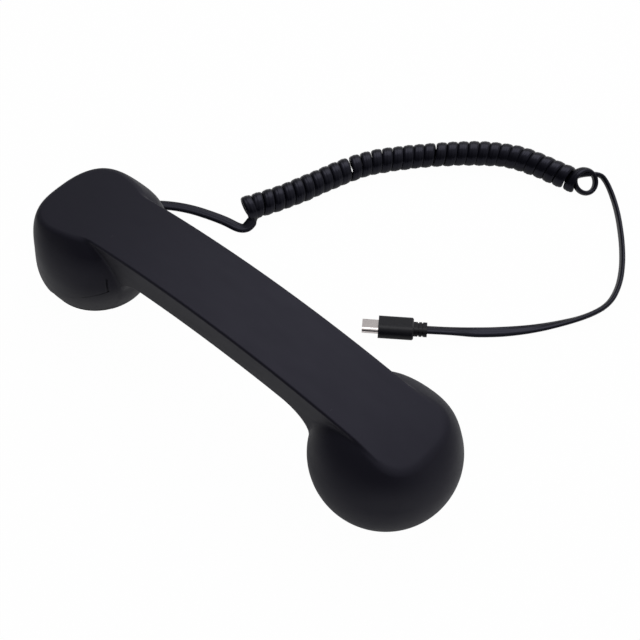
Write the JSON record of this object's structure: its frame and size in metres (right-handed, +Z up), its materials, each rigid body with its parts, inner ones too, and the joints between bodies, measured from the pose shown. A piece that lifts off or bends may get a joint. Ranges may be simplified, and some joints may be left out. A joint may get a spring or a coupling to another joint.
{
  "type": "telephone handset",
  "caption": "Telephone handset with two round cups on an arched handle, a flat curly cord and a small data plug.",
  "frame": {"origin": "on the table under the handset, at the middle of its length and width", "axes": "+X along the handle towards the ear cup, +Y across it on the side where the cord's coil lies, +Z up"},
  "size_m": [0.2261, 0.2078, 0.0527],
  "materials": {
    "shell": "soft-touch matte blue-black",
    "cap": "fine matte",
    "cloth": "fine acoustic cloth",
    "speaker_metal": "pressed",
    "cone": "thin film",
    "magnet": "plated",
    "seal": "matte",
    "capsule": "satin",
    "button": "fine matte",
    "plunger": "smooth",
    "switch": "smooth",
    "board": "solder mask",
    "chip": "moulded",
    "screw": "plated",
    "wire_red": "smooth",
    "wire_white": "smooth",
    "cord": "semi-gloss jacket",
    "relief": "matte",
    "plug_body": "fine matte",
    "plug_metal": "satin",
    "plug_insert": "smooth",
    "contact": "plated"
  },
  "bodies": {
    "handset": {"back_shell": "shell", "front_shell": "shell", "ear_cap": "cap", "mouth_cap": "cap", "ear_cloth": "cloth", "mouth_cloth": "cloth", "speaker_frame": "speaker_metal", "speaker_cone": "cone", "speaker_magnet": "magnet", "speaker_gasket": "seal", "microphone_boot": "seal", "microphone_capsule": "capsule", "switch_body": "switch", "audio_board": "board", "audio_chip": "chip", "assembly_screws": "screw", "board_screws": "screw", "speaker_wires": "wire_red", "microphone_wires": "wire_white", "cord_core": "cord", "cord_grommet": "relief", "cord_lead": "cord", "cord_coil": "cord", "cord_tail": "cord", "plug_relief": "relief", "plug_overmold": "plug_body", "plug_tip": "plug_metal", "plug_insert": "plug_insert", "plug_contacts": "contact"},
    "button": {"call_button": "button", "switch_plunger": "plunger"}
  },
  "joints": [
    {"name": "button_press", "type": "slide", "parent": "handset", "child": "button", "axis": [0, 0, 1], "range_m": [0, 0.0005], "stiffness_N_per_m": 400}
  ]
}
